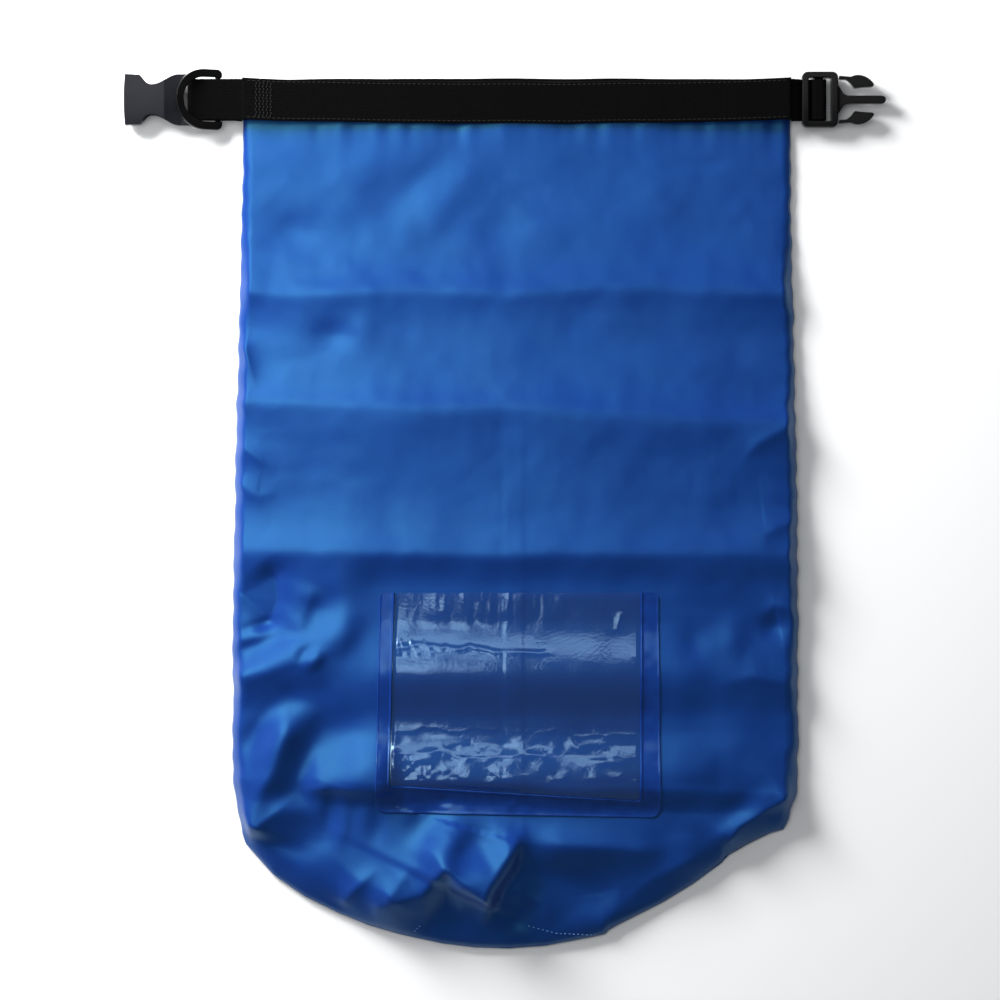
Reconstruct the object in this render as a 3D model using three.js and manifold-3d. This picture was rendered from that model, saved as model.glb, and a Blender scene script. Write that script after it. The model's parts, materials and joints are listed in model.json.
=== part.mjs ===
// A roll-top dry bag, empty and laid flat on its back, as a scene graph of its separate pieces.
// Millimetres. +X runs across the mouth, +Y from the base to the mouth, and +Z up from the surface that
// the bag lies on. The origin is the middle of the footprint.
import * as THREE from "three";
import { mergeVertices } from "three/addons/utils/BufferGeometryUtils.js";
import Module from "manifold-3d";

const wasm = await Module();
wasm.setup();

// ---- Driving dimensions ----

// The bag: a flat tube of coated fabric on a round base that lies folded under its lower end.
const BAG_X = 7; // the bag's centre line; the two buckle halves differ in length
const MOUTH_HALF = 164.5; // half the flat width at the mouth
const BELLY_HALF = 170; // half the flat width where it is widest
const BELLY_Y = -140;
const MOUTH_TOP = 259;
const FOLD_UPPER = 226; // where the mouth folds onto the neck
const FOLD_LOWER = 191; // where the neck folds onto the bag
const FOLD_GAP = 0.5; // from a fold line to the fabric on each side of it
const BASE_LOW = -264; // lowest point of the curved lower edge
const BASE_RADIUS = 225; // radius of that edge
const BASE_X = -6; // it hangs a little to the left
const BASE_CENTRE_Y = BASE_LOW + BASE_RADIUS - 0.5; // the last of the curve is cut flat
const WALL = 1;
const CREASE_RADIUS = 3.5; // the tube's rounded side creases
const NECK_BACK = 1.7; // height of the back wall at the neck and the mouth
const BODY_BACK = 0.9; // and over the rest of the bag
const BACK_SETTLED_Y = 142; // where the back wall has come down to that
const NECK_FRONT = NECK_BACK + 2 * CREASE_RADIUS; // height of the front wall at the neck
const CROWN_NECK = NECK_FRONT + 0.4; // just below it the wall starts to arch
const CROWN_BELLY = 22; // and where the air left inside lifts it most
const BELLY_TOP_Y = -60; // down to BELLY_LOW_Y
const BELLY_LOW_Y = -150;
const CROWN_BASE = 8;

// Flat pieces are laid on each other with this much air between them.
const LAYER_GAP = 0.3;

// The folded base is a lens, the tube's end seen from below; its rim is taped inside.
const LENS_RADIUS = 217; // the wall turns under the lower edge as far as this
const LENS_TIP_Y = -202;
const LENS_SINK = 0.5; // the cut in the back wall is this much larger than the lens
const BASE_THICK = 1.2;
const BASE_TAPE_WIDTH = 8;
const TAPE_THICK = 0.5;
const SEAM_X = 5.5; // the welded lap seam runs up the back
const SEAM_WIDTH = 14;
const SEAM_LOW = -138;

// The clear pocket on the front: a window in a welded border, open along its top edge.
const WINDOW = { left: -63, right: 81, low: -172, high: -49.5 };
const WELD_BORDER = 10.5;
const WELD_CORNER = 5;
const FILM_THICK = 0.5;
const WELD_LIFT = 0.4; // from the front wall to the border
const FILM_LIFT = 1.3; // to the window where it meets the border
const POCKET_DEPTH = 5.1; // and where it stands free, most of all along its open edge

// Webbing
const STRAP_Y = 246; // centre line of the bands and the buckle
const STRAP_WIDTH = 25;
const STRAP_THICK = 1.4;
const STRAP_Z = 6; // height of the buckle's mid-plane
const STIFFENER = { length: 320, width: 21, thick: 0.8 };
const REAR_BAND_SHIFT = 0.5; // the rear band stands this much above the front one

// Straps swing about these lines, just clear of the bag's side creases.
const HINGE_CLEAR = 3.8;
const LEFT_HINGE_X = BAG_X - MOUTH_HALF - HINGE_CLEAR;
const RIGHT_HINGE_X = BAG_X + MOUTH_HALF + HINGE_CLEAR;

// Left strap: its two plies hold the ring's bar and turn round the socket's bar.
const RING_BAR_REACH = 11.2;
const SOCKET_BAR_REACH = 26;
const PLY_Z = 2.8; // from the strap's mid-plane to the middle of a ply
const RING_TILT = THREE.MathUtils.degToRad(24); // the ring leans on the strap's edges

const RING = { depth: 26.5, half: 18, limb: 4.5, thick: 3.2, bar: 2.6, corner: 3, heel: 2.2 };

const SOCKET = {
  length: 41.3, // from the bar's centre to the mouth
  half: 15.3,
  waist: 9,
  thick: 9.6,
  endThick: 4.2, // the strap end is thinner
  bar: 2.4,
  barThick: 2.6,
  cavityHalf: 12.4,
  cavityThick: 6,
  cavityEnd: -14,
  slot: 4.7,
};

// The plug: a frame with a rear bar over the strap and a centre bar under it, a tongue and two latch arms.
const PLUG = {
  start: 2.9, // from the hinge to the frame
  end: 24.5,
  half: 16.6,
  thick: 8,
  corner: 3.5,
  windowHalf: 13,
  windowStart: 6.9,
  windowEnd: 20.3,
  rearBarLow: 0.6,
  centreBar: [10.5, 15.5, -2.4, 1],
  tongueTip: 53.3,
  tongueHalf: 2.4,
  tongueThick: 4.8,
};
const ARM = { root: 25.2, y: 13.2, thick: 4.8 };

// ---- Materials ----

const plain = (color, roughness, extra = {}) =>
  new THREE.MeshStandardMaterial({ color, roughness, metalness: 0, ...extra });
const coatedFabric = plain(0x1f56b4, 0.42);
const seamTape = plain(0x1c4ea6, 0.5);
const clearFilm = plain(0xb9c6e0, 0.12, { transparent: true, opacity: 0.35 });
const weldedFilm = plain(0x16409a, 0.22);
const webbing = plain(0x0f0f10, 0.85);
const stiffenerPlastic = plain(0x1c1c1e, 0.6);
const buckleNylon = plain(0x141415, 0.38);

// ---- Solids ----

function solid(geometry) {
  const bare = geometry.clone();
  bare.deleteAttribute("normal");
  bare.deleteAttribute("uv");
  const merged = mergeVertices(bare, 1e-4);
  return new wasm.Manifold(
    new wasm.Mesh({
      numProp: 3,
      vertProperties: new Float32Array(merged.attributes.position.array),
      triVerts: new Uint32Array(merged.index.array),
    }),
  );
}

function geometryOf(manifold) {
  const mesh = manifold.getMesh();
  const geometry = new THREE.BufferGeometry();
  geometry.setAttribute("position", new THREE.BufferAttribute(mesh.vertProperties, mesh.numProp));
  geometry.setIndex(new THREE.BufferAttribute(mesh.triVerts, 1));
  geometry.computeVertexNormals();
  return geometry;
}

// A plan outline (x, y) as a plate from z = low to z = high.
function plate(shape, low, high, curveSegments = 16) {
  const options = { depth: high - low, bevelEnabled: false, curveSegments };
  return new THREE.ExtrudeGeometry(shape, options).translate(0, 0, low);
}

// A side outline (x, z) as a bar from y = low to y = high.
function beam(shape, low, high, curveSegments = 6) {
  const options = { depth: high - low, bevelEnabled: false, curveSegments };
  return new THREE.ExtrudeGeometry(shape, options).rotateX(Math.PI / 2).translate(0, high, 0);
}

function block([x0, x1], [y0, y1], [z0, z1]) {
  const box = new THREE.BoxGeometry(x1 - x0, y1 - y0, z1 - z0);
  return box.translate((x0 + x1) / 2, (y0 + y1) / 2, (z0 + z1) / 2);
}

// A rectangle with rounded corners, drawn onto a Shape or a Path.
function roundedRect(path, x0, y0, x1, y1, r) {
  path.moveTo(x0 + r, y0);
  path.lineTo(x1 - r, y0);
  path.absarc(x1 - r, y0 + r, r, -Math.PI / 2, 0);
  path.lineTo(x1, y1 - r);
  path.absarc(x1 - r, y1 - r, r, 0, Math.PI / 2);
  path.lineTo(x0 + r, y1);
  path.absarc(x0 + r, y1 - r, r, Math.PI / 2, Math.PI);
  path.lineTo(x0, y0 + r);
  path.absarc(x0 + r, y0 + r, r, Math.PI, 1.5 * Math.PI);
  return path;
}

// Closed rings of points (x, z), one for each y from the highest down, joined and capped.
// Each ring is convex and runs anticlockwise with x to the right and z up.
function loft(rings) {
  const count = rings[0].points.length;
  const positions = rings.flatMap(({ y, points }) => points.flatMap(([x, z]) => [x, y, z]));
  const index = [];
  for (let j = 0; j + 1 < rings.length; j++)
    for (let i = 0; i < count; i++) {
      const a = j * count + i;
      const b = j * count + ((i + 1) % count);
      index.push(a, b, b + count, a, b + count, a + count);
    }
  const last = (rings.length - 1) * count;
  for (let i = 1; i + 1 < count; i++) index.push(0, i + 1, i, last, last + i, last + i + 1);
  const geometry = new THREE.BufferGeometry();
  geometry.setAttribute("position", new THREE.Float32BufferAttribute(positions, 3));
  geometry.setIndex(index);
  return geometry;
}

// The outline of a strip of webbing whose middle follows a path.
function stripOutline(path, thick) {
  const points = path.getPoints(8);
  const sides = [1, -1].map((side) =>
    points.map((p, i) => {
      const before = points[Math.max(i - 1, 0)];
      const after = points[Math.min(i + 1, points.length - 1)];
      const along = after.clone().sub(before).normalize();
      return new THREE.Vector2(p.x - side * along.y * (thick / 2), p.y + side * along.x * (thick / 2));
    }),
  );
  return new THREE.Shape([...sides[1], ...sides[0].reverse()]);
}

// ---- The bag's shape ----

const ease = THREE.MathUtils.smoothstep;
const mix = THREE.MathUtils.lerp;

// Where the bag's left and right edges are at a height y, drawn in by inset.
function edges(y, inset) {
  const side = mix(MOUTH_HALF, BELLY_HALF, ease(FOLD_LOWER - y, 0, FOLD_LOWER - BELLY_Y)) - inset;
  const drop = Math.max(BASE_CENTRE_Y - y, 0);
  const curve = Math.sqrt((BASE_RADIUS - inset) ** 2 - drop ** 2);
  return [Math.max(BAG_X - side, BASE_X - curve), Math.min(BAG_X + side, BASE_X + curve)];
}

function backHeight(y) {
  return mix(BODY_BACK, NECK_BACK, ease(y, BACK_SETTLED_Y, FOLD_LOWER - 5));
}

function crownHeight(y) {
  return y > BELLY_LOW_Y
    ? mix(CROWN_BELLY, CROWN_NECK, ease(y, BELLY_TOP_Y, FOLD_LOWER))
    : mix(CROWN_BASE, CROWN_BELLY, ease(y, BASE_LOW, BELLY_LOW_Y));
}

// Height of the front wall's outer face, which arches from crease to crease.
function frontHeight(x, y) {
  const [left, right] = edges(y, 0);
  const edge = backHeight(y) + 2 * CREASE_RADIUS;
  const across = Math.min(Math.abs((2 * x - left - right) / (right - left - 2 * CREASE_RADIUS)), 1);
  return edge + Math.max(crownHeight(y) - edge, 0) * (1 - across ** 3);
}

// One cross-section of the flat tube, drawn in by inset all round.
function tubeRing(y, inset, frontSteps = 18) {
  const creaseSteps = 5;
  const [left, right] = edges(y, inset);
  const radius = CREASE_RADIUS - inset;
  const creaseZ = backHeight(y) + CREASE_RADIUS;
  const centres = [left + radius, right - radius];
  const crease = (x, from) =>
    Array.from({ length: creaseSteps }, (_, i) => {
      const angle = from + (Math.PI * (i + 1)) / (creaseSteps + 1);
      return [x + radius * Math.cos(angle), creaseZ + radius * Math.sin(angle)];
    });
  const front = Array.from({ length: frontSteps + 1 }, (_, i) => {
    const x = mix(centres[0], centres[1], (1 + Math.cos((Math.PI * i) / frontSteps)) / 2);
    return [x, frontHeight(x, y) - inset];
  });
  const back = centres.map((x) => [x, creaseZ - radius]);
  return {
    y,
    points: [...front, ...crease(centres[0], Math.PI / 2), ...back, ...crease(centres[1], -Math.PI / 2)],
  };
}

function stations(high, low, steps) {
  return Array.from({ length: steps + 1 }, (_, i) => mix(high, low, i / steps));
}

// Down the sides in even steps, then round the curved lower edge.
function bagStations(high, low, inset) {
  const radius = BASE_RADIUS - inset;
  const corner = Math.acos(BELLY_HALF / BASE_RADIUS);
  const end = Math.asin((BASE_CENTRE_Y - low) / radius);
  const curve = stations(corner, end, 10).map((angle) => BASE_CENTRE_Y - radius * Math.sin(angle));
  return [...stations(high, curve[0], 14).slice(0, -1), ...curve];
}

// A short length of the flat tube, open at both ends.
function collar(high, low) {
  const outer = [high, low].map((y) => tubeRing(y, 0, 1));
  const inner = [high + 1, low - 1].map((y) => tubeRing(y, WALL, 1));
  return geometryOf(solid(loft(outer)).subtract(solid(loft(inner))));
}

// The lens of the folded base, smaller by inset.
function lens(inset) {
  const radius = LENS_RADIUS - inset;
  const rise = LENS_TIP_Y - BASE_CENTRE_Y;
  const tip = Math.asin(-rise / radius);
  const shape = new THREE.Shape();
  shape.absarc(BASE_X, LENS_TIP_Y - rise, radius, Math.PI + tip, 2 * Math.PI - tip);
  shape.absarc(BASE_X, LENS_TIP_Y + rise, radius, tip, Math.PI - tip);
  return shape;
}

// A sheet of film over the front wall, as high above it as lift(x, y).
function film([x0, x1], [y0, y1], lift, columns, rows) {
  const count = columns + 1;
  const grid = stations(y0, y1, rows).flatMap((y) => stations(x0, x1, columns).map((x) => [x, y]));
  const sheet = (extra) => grid.flatMap(([x, y]) => [x, y, frontHeight(x, y) + lift(x, y) + extra]);
  const index = [];
  const quad = (a, b, c, d) => index.push(a, b, c, a, c, d);
  for (let j = 0; j < rows; j++)
    for (let i = 0; i < columns; i++) {
      const a = j * count + i;
      quad(a, a + 1, a + count + 1, a + count);
      quad(grid.length + a, grid.length + a + count, grid.length + a + count + 1, grid.length + a + 1);
    }
  const rim = [
    ...Array.from({ length: columns }, (_, i) => i),
    ...Array.from({ length: rows }, (_, j) => j * count + columns),
    ...Array.from({ length: columns }, (_, i) => rows * count + columns - i),
    ...Array.from({ length: rows }, (_, j) => (rows - j) * count),
  ];
  rim.forEach((a, i) => {
    const b = rim[(i + 1) % rim.length];
    quad(grid.length + a, grid.length + b, b, a);
  });
  const geometry = new THREE.BufferGeometry();
  geometry.setAttribute("position", new THREE.Float32BufferAttribute([...sheet(FILM_THICK), ...sheet(0)], 3));
  geometry.setIndex(index);
  return geometry;
}

function pocketBorder() {
  const shape = new THREE.Shape();
  const { left, right, low, high } = WINDOW;
  const r = WELD_CORNER;
  shape.moveTo(left - WELD_BORDER + r, low - WELD_BORDER);
  shape.lineTo(right + WELD_BORDER - r, low - WELD_BORDER);
  shape.absarc(right + WELD_BORDER - r, low - WELD_BORDER + r, r, -Math.PI / 2, 0);
  shape.lineTo(right + WELD_BORDER, high - r);
  shape.absarc(right + WELD_BORDER - r, high - r, r, 0, Math.PI / 2);
  shape.lineTo(right, high);
  shape.lineTo(right, low);
  shape.lineTo(left, low);
  shape.lineTo(left, high);
  shape.lineTo(left - WELD_BORDER + r, high);
  shape.absarc(left - WELD_BORDER + r, high - r, r, Math.PI / 2, Math.PI);
  shape.lineTo(left - WELD_BORDER, low - WELD_BORDER + r);
  shape.absarc(left - WELD_BORDER + r, low - WELD_BORDER + r, r, Math.PI, 1.5 * Math.PI);
  return shape;
}

// ---- The bag's pieces ----

function bagWall() {
  const high = FOLD_LOWER - FOLD_GAP;
  const low = BASE_LOW;
  const outer = bagStations(high, low, 0).map((y) => tubeRing(y, 0));
  const inner = bagStations(high + 1, low + 2 * WALL, WALL).map((y) => tubeRing(y, WALL));
  const baseHole = solid(plate(lens(-LENS_SINK), -1, BODY_BACK + 1.5 * WALL));
  return geometryOf(solid(loft(outer)).subtract(solid(loft(inner))).subtract(baseHole));
}

const neckWall = () => collar(FOLD_UPPER - FOLD_GAP, FOLD_LOWER + FOLD_GAP);
const mouthWall = () => collar(MOUTH_TOP, FOLD_UPPER + FOLD_GAP);

function baseTape() {
  const shape = lens(2);
  shape.holes.push(new THREE.Path(lens(2 + BASE_TAPE_WIDTH).getPoints(16)));
  const low = BASE_THICK + LAYER_GAP;
  return plate(shape, low, low + TAPE_THICK);
}

// The lap seam's tape lies under the back wall, and steps up with it at the neck.
function seamTapeStrip(high, low, top) {
  const x = [SEAM_X - SEAM_WIDTH / 2, SEAM_X + SEAM_WIDTH / 2];
  return block(x, [low, high], [top - TAPE_THICK, top]);
}

// The window bellies out between its two sides and its closed lower edge.
function pocketWindow() {
  const x = [WINDOW.left - 1.5, WINDOW.right + 1.5];
  const y = [WINDOW.low - 1.5, WINDOW.high];
  const rise = (from, to) => ease(to, from, from + 22);
  const lift = (px, py) =>
    mix(FILM_LIFT, POCKET_DEPTH, Math.min(rise(x[0], px), rise(px, x[1]), rise(y[0], py)));
  return film(x, y, lift, 22, 16);
}

function pocketWeld() {
  const x = [WINDOW.left - WELD_BORDER - 1, WINDOW.right + WELD_BORDER + 1];
  const y = [WINDOW.low - WELD_BORDER - 1, WINDOW.high + 1];
  const skin = solid(film(x, y, () => WELD_LIFT, 10, 10));
  return geometryOf(skin.intersect(solid(plate(pocketBorder(), 0, 3 * CROWN_BELLY, 6))));
}

function band(low) {
  const x = [BAG_X - MOUTH_HALF, BAG_X + MOUTH_HALF];
  return block(x, [-STRAP_WIDTH / 2, STRAP_WIDTH / 2], [low, low + STRAP_THICK]);
}

function stiffener(low) {
  const x = [BAG_X - STIFFENER.length / 2, BAG_X + STIFFENER.length / 2];
  return block(x, [-STIFFENER.width / 2, STIFFENER.width / 2], [low, low + STIFFENER.thick]);
}

// ---- Straps, ring and buckle; each stands at its own hinge or bar ----

// Two plies with a turn round the socket's bar.
function leftStrap() {
  const path = new THREE.Path();
  path.moveTo(-LAYER_GAP, PLY_Z);
  path.lineTo(-SOCKET_BAR_REACH, PLY_Z);
  path.absarc(-SOCKET_BAR_REACH, 0, PLY_Z, Math.PI / 2, 1.5 * Math.PI);
  path.lineTo(-LAYER_GAP, -PLY_Z);
  return beam(stripOutline(path, STRAP_THICK), -STRAP_WIDTH / 2, STRAP_WIDTH / 2);
}

// One ply under the frame's rear bar, over its centre bar and back underneath.
function rightStrap() {
  const path = new THREE.Path();
  path.moveTo(LAYER_GAP, -0.4);
  path.lineTo(6.8, -0.4);
  path.quadraticCurveTo(8, -0.4, 8.6, 0.9);
  path.quadraticCurveTo(9.2, 2.1, 10.6, 2.1);
  path.lineTo(15.2, 2.1);
  path.quadraticCurveTo(17, 2.1, 17, 0.2);
  path.lineTo(17, -1.9);
  path.quadraticCurveTo(17, -3.8, 15.2, -3.8);
  path.lineTo(LAYER_GAP, -3.8);
  return beam(stripOutline(path, STRAP_THICK), -STRAP_WIDTH / 2, STRAP_WIDTH / 2);
}

function dRing() {
  const { depth, half, limb, thick, bar, corner, heel } = RING;
  const turn = half - depth; // centre of the bow
  const outline = new THREE.Shape();
  outline.absarc(turn, 0, half, Math.PI / 2, 1.5 * Math.PI);
  outline.lineTo(heel - corner, -half);
  outline.absarc(heel - corner, corner - half, corner, -Math.PI / 2, 0);
  outline.lineTo(heel, half - corner);
  outline.absarc(heel - corner, half - corner, corner, 0, Math.PI / 2);
  const opening = new THREE.Path();
  opening.absarc(turn, 0, half - limb, Math.PI / 2, 1.5 * Math.PI);
  opening.lineTo(-bar / 2, limb - half);
  opening.lineTo(-bar / 2, half - limb);
  outline.holes.push(opening);
  const ring = solid(plate(outline, -thick / 2, thick / 2, 20));
  const span = [limb - half + 0.2, half - limb - 0.2];
  const behindBar = solid(block([bar / 2, heel + 1], span, [-thick, thick]));
  const overBar = solid(block([-bar, heel + 1], span, [bar / 2, thick]));
  const underBar = solid(block([-bar, heel + 1], span, [-thick, -bar / 2]));
  return geometryOf(ring.subtract(behindBar).subtract(overBar).subtract(underBar));
}

// The socket's plan: a square mouth, a finger waist with the latch windows, and a flared strap end.
function socketOutline() {
  const { length, half, waist, bar } = SOCKET;
  const end = bar / 2;
  const shape = new THREE.Shape();
  shape.moveTo(end, -half + 2);
  shape.lineTo(end, half - 2);
  shape.quadraticCurveTo(end, half, end - 2, half);
  shape.lineTo(-9, half);
  shape.bezierCurveTo(-15, half - 0.5, -18, waist, -25, waist);
  shape.bezierCurveTo(-29, waist, -30, half - 1, -32.5, half - 0.4);
  shape.lineTo(-length + 0.6, half);
  shape.quadraticCurveTo(-length - 0.6, 0, -length + 0.6, -half);
  shape.lineTo(-32.5, -half + 0.4);
  shape.bezierCurveTo(-30, 1 - half, -29, -waist, -25, -waist);
  shape.bezierCurveTo(-18, -waist, -15, 0.5 - half, -9, -half);
  shape.lineTo(end - 2, -half);
  shape.quadraticCurveTo(end, -half, end, -half + 2);
  return shape;
}

function socketBody() {
  const { length, half, thick, endThick, bar, barThick, cavityHalf, cavityThick, cavityEnd, slot } = SOCKET;
  const side = new THREE.Shape();
  side.moveTo(-length - 1, -thick / 2);
  side.lineTo(-17, -thick / 2);
  side.lineTo(-7, -endThick / 2);
  side.lineTo(bar, -endThick / 2);
  side.lineTo(bar, endThick / 2);
  side.lineTo(-7, endThick / 2);
  side.lineTo(-17, thick / 2);
  side.lineTo(-length - 1, thick / 2);
  const taper = solid(beam(side, -half - 1, half + 1));
  const body = solid(plate(socketOutline(), -thick, thick, 8)).intersect(taper);
  const cavityZ = [-cavityThick / 2, cavityThick / 2];
  const cavity = solid(block([-length - 2, cavityEnd], [-cavityHalf, cavityHalf], cavityZ));
  const span = [-PLUG.windowHalf, PLUG.windowHalf];
  const strapSlot = solid(block([-bar / 2 - slot, -bar / 2], span, [-thick, thick]));
  const overBar = solid(block([-bar, bar], span, [barThick / 2, thick]));
  const underBar = solid(block([-bar, bar], span, [-thick, -barThick / 2]));
  return geometryOf(body.subtract(cavity).subtract(strapSlot).subtract(overBar).subtract(underBar));
}

function plugFrame() {
  const { start, end, half, thick, corner, windowHalf, windowStart, windowEnd } = PLUG;
  const { rearBarLow, centreBar, tongueTip, tongueHalf, tongueThick } = PLUG;
  const outline = roundedRect(new THREE.Shape(), start, -half, end, half, corner);
  const frame = solid(plate(outline, -thick / 2, thick / 2, 5));
  const window = solid(block([windowStart, windowEnd], [-windowHalf, windowHalf], [-thick, thick]));
  const underRear = solid(block([start - 1, windowStart], [-windowHalf, windowHalf], [-thick, rearBarLow]));
  const centre = solid(block(centreBar.slice(0, 2), [-windowHalf - 1, windowHalf + 1], centreBar.slice(2)));
  const tongue = new THREE.Shape();
  tongue.moveTo(end - 1, -9.5);
  tongue.bezierCurveTo(end + 2, -8.5, end + 1.5, -tongueHalf - 0.3, end + 6.5, -tongueHalf);
  tongue.lineTo(tongueTip - 2.6, -tongueHalf);
  tongue.quadraticCurveTo(tongueTip, -tongueHalf + 0.4, tongueTip, 0);
  tongue.quadraticCurveTo(tongueTip, tongueHalf - 0.4, tongueTip - 2.6, tongueHalf);
  tongue.lineTo(end + 6.5, tongueHalf);
  tongue.bezierCurveTo(end + 1.5, tongueHalf + 0.3, end + 2, 8.5, end - 1, 9.5);
  const blade = solid(plate(tongue, -tongueThick / 2, tongueThick / 2, 6));
  return geometryOf(frame.subtract(window).subtract(underRear).add(centre).add(blade));
}

// A latch arm from its root, with the outside of its barb towards +Y.
function latchArm() {
  const shape = new THREE.Shape();
  shape.moveTo(0, -1);
  shape.lineTo(4, -1.2);
  shape.quadraticCurveTo(6.5, -2.2, 8.6, -5.5);
  shape.quadraticCurveTo(9.4, -6.6, 10.8, -6.2);
  shape.quadraticCurveTo(14, -5.6, 19.4, -5.5);
  shape.quadraticCurveTo(21, -5.3, 20.9, -3.9);
  shape.bezierCurveTo(19, -0.6, 15, 1.6, 11.5, 1.6);
  shape.quadraticCurveTo(9, 1.5, 7.1, 0.5);
  shape.lineTo(0, 1.1);
  return plate(shape, -ARM.thick / 2, ARM.thick / 2, 6);
}

// ---- Assembly ----

function part(name, geometry, material, position = [0, 0, 0]) {
  const mesh = new THREE.Mesh(geometry, material);
  mesh.name = name;
  mesh.position.set(...position);
  return mesh;
}

function group(position, ...children) {
  const made = new THREE.Group();
  made.position.set(...position);
  made.add(...children);
  return made;
}

const bag = group(
  [0, 0, 0],
  part("bag_wall", bagWall(), coatedFabric),
  part("base_disc", plate(lens(0), 0, BASE_THICK), coatedFabric),
  part("base_seam_tape", baseTape(), seamTape),
  part("back_seam_tape", seamTapeStrip(BACK_SETTLED_Y - 2, SEAM_LOW, TAPE_THICK), seamTape),
  part("pocket_weld_border", pocketWeld(), weldedFilm),
  part("pocket_window", pocketWindow(), clearFilm),
);

const neckTapeTop = NECK_BACK - LAYER_GAP;
const neck = group(
  [0, 0, 0],
  part("neck_wall", neckWall(), coatedFabric),
  part("neck_seam_tape", seamTapeStrip(FOLD_UPPER - 1, FOLD_LOWER + 1, neckTapeTop), seamTape),
);

const stiffenerLow = NECK_FRONT + LAYER_GAP;
const frontBandLow = stiffenerLow + STIFFENER.thick + LAYER_GAP;
const mouth = group(
  [0, 0, 0],
  part("mouth_wall", mouthWall(), coatedFabric),
  part("mouth_stiffener", stiffener(stiffenerLow), stiffenerPlastic, [0, STRAP_Y, 0]),
  part("front_band", band(frontBandLow), webbing, [0, STRAP_Y, 0]),
  part("rear_band", band(0), webbing, [0, STRAP_Y + REAR_BAND_SHIFT, 0]),
);

const ring = group([-RING_BAR_REACH, 0, 0], part("d_ring", dRing(), buckleNylon));
ring.rotation.y = RING_TILT;
const leftTab = group(
  [LEFT_HINGE_X, STRAP_Y, STRAP_Z],
  part("left_strap_loop", leftStrap(), webbing),
  ring,
  part("buckle_socket", socketBody(), buckleNylon, [-SOCKET_BAR_REACH, 0, 0]),
);

const upperArm = part("upper_latch_arm", latchArm(), buckleNylon, [ARM.root, ARM.y, 0]);
const lowerArm = part("lower_latch_arm", latchArm(), buckleNylon, [ARM.root, -ARM.y, 0]);
lowerArm.rotation.x = Math.PI;
const rightTab = group(
  [RIGHT_HINGE_X, STRAP_Y, STRAP_Z],
  part("right_strap_loop", rightStrap(), webbing),
  part("plug_frame", plugFrame(), buckleNylon),
  upperArm,
  lowerArm,
);

const dryBag = new THREE.Group();
dryBag.name = "dry_bag";
dryBag.add(bag, neck, mouth, leftTab, rightTab);

export default dryBag;
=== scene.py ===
"""The looks of a roll-top dry bag lying flat on its back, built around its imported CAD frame."""

import json
import math

import bpy
import numpy as np
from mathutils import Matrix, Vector


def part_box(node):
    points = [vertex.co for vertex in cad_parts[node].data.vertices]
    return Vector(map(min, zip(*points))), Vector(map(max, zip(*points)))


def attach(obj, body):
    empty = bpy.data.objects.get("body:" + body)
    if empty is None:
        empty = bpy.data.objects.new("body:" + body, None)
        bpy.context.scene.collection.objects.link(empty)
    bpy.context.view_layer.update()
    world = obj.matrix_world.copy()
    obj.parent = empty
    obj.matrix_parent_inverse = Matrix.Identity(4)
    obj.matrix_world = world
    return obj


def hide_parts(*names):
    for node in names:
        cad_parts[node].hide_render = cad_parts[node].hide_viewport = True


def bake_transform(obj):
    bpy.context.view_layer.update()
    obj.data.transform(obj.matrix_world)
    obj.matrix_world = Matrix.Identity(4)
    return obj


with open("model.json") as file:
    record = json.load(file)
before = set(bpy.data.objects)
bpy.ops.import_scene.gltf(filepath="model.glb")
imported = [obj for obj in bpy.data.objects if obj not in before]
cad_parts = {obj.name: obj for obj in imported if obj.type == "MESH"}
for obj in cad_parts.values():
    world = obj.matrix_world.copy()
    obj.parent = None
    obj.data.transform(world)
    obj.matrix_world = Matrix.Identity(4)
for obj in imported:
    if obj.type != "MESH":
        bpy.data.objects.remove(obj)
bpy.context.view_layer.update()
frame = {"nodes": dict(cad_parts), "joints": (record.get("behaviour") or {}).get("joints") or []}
MM = 0.001

# ---- Sizes, in millimetres unless a name says otherwise ----

MOUTH_LOW, MOUTH_HIGH = (c * 1000 for c in (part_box("mouth_wall")[0].y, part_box("mouth_wall")[1].y))
LEFT_X, RIGHT_X = (c * 1000 for c in (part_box("mouth_wall")[0].x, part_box("mouth_wall")[1].x))
MID_X = (LEFT_X + RIGHT_X) / 2
STRAP_Y = (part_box("front_band")[0].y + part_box("front_band")[1].y) * 500
FRONT_BAND_Z = (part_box("front_band")[0].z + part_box("front_band")[1].z) * 500
REAR_BAND_Z = (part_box("rear_band")[0].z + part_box("rear_band")[1].z) * 500
JOINT = {j["name"]: Vector(j["pos_m"]) * 1000 for j in frame["joints"]}
LOWER_FOLD, UPPER_FOLD = JOINT["roll_fold_lower"], JOINT["roll_fold_upper"]
WEBBING_WIDTH, WEBBING_THICK = 25.0, 1.4
FRONT_SAG = 2.6  # the front band sags this much in its middle, and shows the rear band above it
SEAM_X, SEAM_HALF = 5.5, 7.0  # the lap seam up the back, and half the width of its tape
LOWER_SPLIT, UPPER_SPLIT = LOWER_FOLD.y - 16, UPPER_FOLD.y - 9  # where the skin's three lengths meet
TAPE_LOW, TAPE_HIGH = -138, 233  # the ends of the seam's tape
STRAP_Z, TAB_BEND = 6.0, 3.4  # the straps' middle, and how far to either side of its hinge a tab bends


# ---- Small helpers ----


def smooth(t):
    t = np.clip(t, 0, 1)
    return t * t * (3 - 2 * t)


def wave(t, *pairs):
    """A sum of sines of t: each pair is a wavelength and an amplitude, with a phase made from both."""
    return sum(a * np.sin(2 * np.pi * t / w + 1.7 * w + 11.0 * a) for w, a in pairs)


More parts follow.
